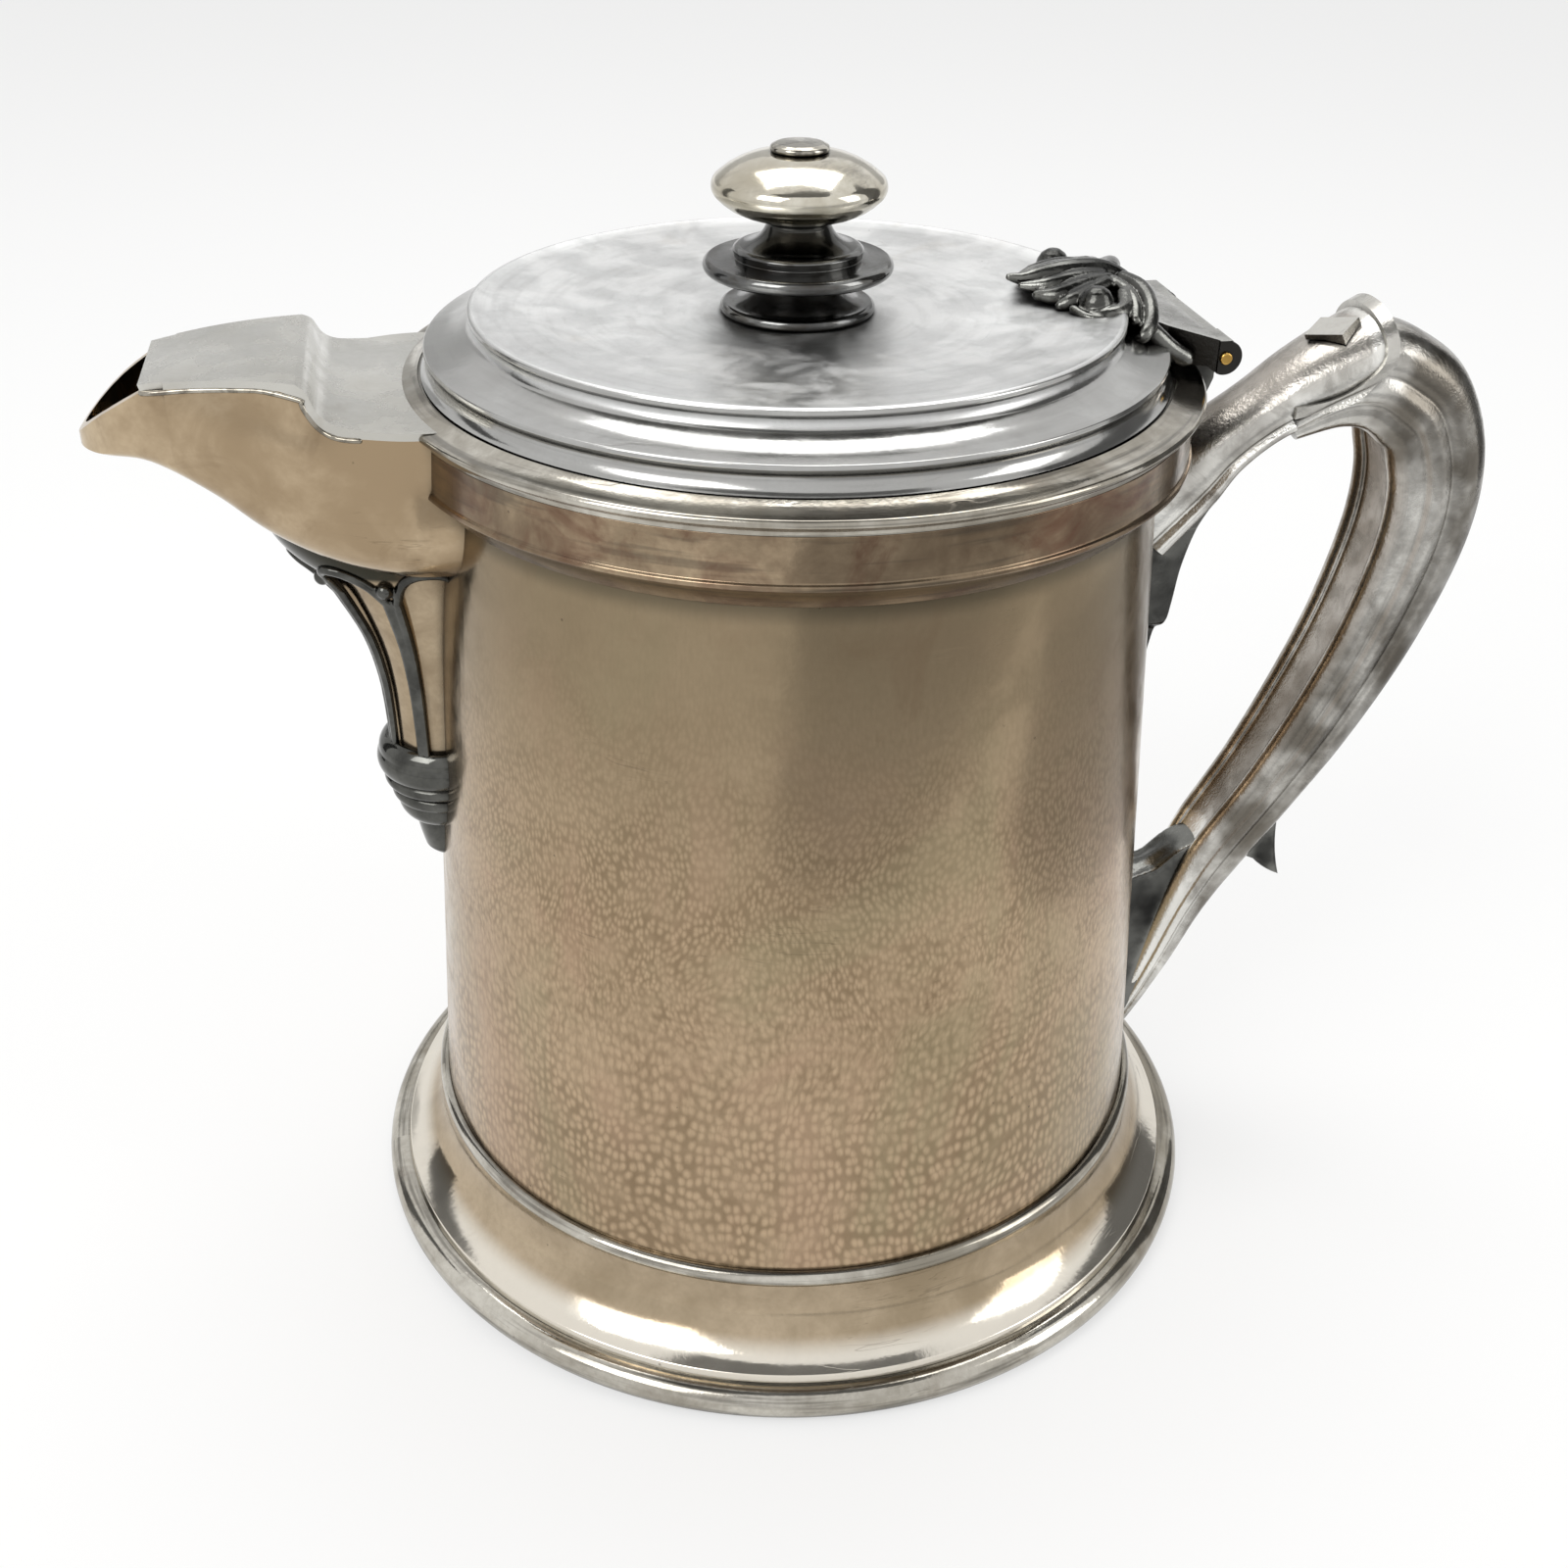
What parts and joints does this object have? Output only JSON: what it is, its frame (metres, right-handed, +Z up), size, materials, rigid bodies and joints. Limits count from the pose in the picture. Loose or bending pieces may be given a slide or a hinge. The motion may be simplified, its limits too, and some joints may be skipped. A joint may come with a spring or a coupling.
{
  "type": "insulated serving pot",
  "caption": "Double-walled serving pot with a covered pouring spout, scroll handle, flared foot and a hinged lid with a turned finial.",
  "frame": {"origin": "centre of the round foot, in the plane the pot stands on", "axes": "+Z up along the round body, +X towards the handle, -X towards the spout, +Y along the lid's hinge pin"},
  "size_m": [0.3077, 0.2056, 0.2511],
  "materials": {
    "silver_plate": "worn silver plate, polished, with tarnish in the recesses",
    "cast_white_metal": "cast and silver plated, satin with rubbed highlights",
    "dark_tarnish": "silver plate gone almost black, still glossy",
    "liner_metal": "dull spun white metal",
    "brass": "bare turned brass"
  },
  "bodies": {
    "pitcher": {"base_ring": "silver_plate", "foot": "silver_plate", "base_plate": "liner_metal", "foot_bead": "silver_plate", "body_shell": "silver_plate", "collar_band": "silver_plate", "collar_rim": "silver_plate", "liner_floor": "liner_metal", "liner": "liner_metal", "liner_neck": "liner_metal", "strainer": "liner_metal", "spout_body": "silver_plate", "spout_cover": "silver_plate", "spout_bracket": "cast_white_metal", "bracket_knop": "cast_white_metal", "bracket_pendant": "cast_white_metal", "handle_arm": "cast_white_metal", "handle_grip": "cast_white_metal", "handle_cuff": "cast_white_metal", "rest_pad": "cast_white_metal", "upper_tang": "cast_white_metal", "handle_socket": "cast_white_metal", "handle_spur": "cast_white_metal", "hinge_bracket": "cast_white_metal", "hinge_pin": "brass"},
    "lid": {"lid_shell": "silver_plate", "lid_lining": "liner_metal", "hinge_strap": "cast_white_metal", "lid_leaf": "cast_white_metal", "finial_spool": "dark_tarnish", "finial_collar": "dark_tarnish", "finial_neck": "dark_tarnish", "finial_knob": "silver_plate", "finial_button": "silver_plate", "finial_rod": "brass", "finial_nut": "brass"}
  },
  "joints": [
    {"name": "lid_hinge", "type": "hinge", "parent": "pitcher", "child": "lid", "pos_m": [0.086, 0, 0.2102], "axis": [0, 1, 0], "range_deg": [0, 100]}
  ]
}
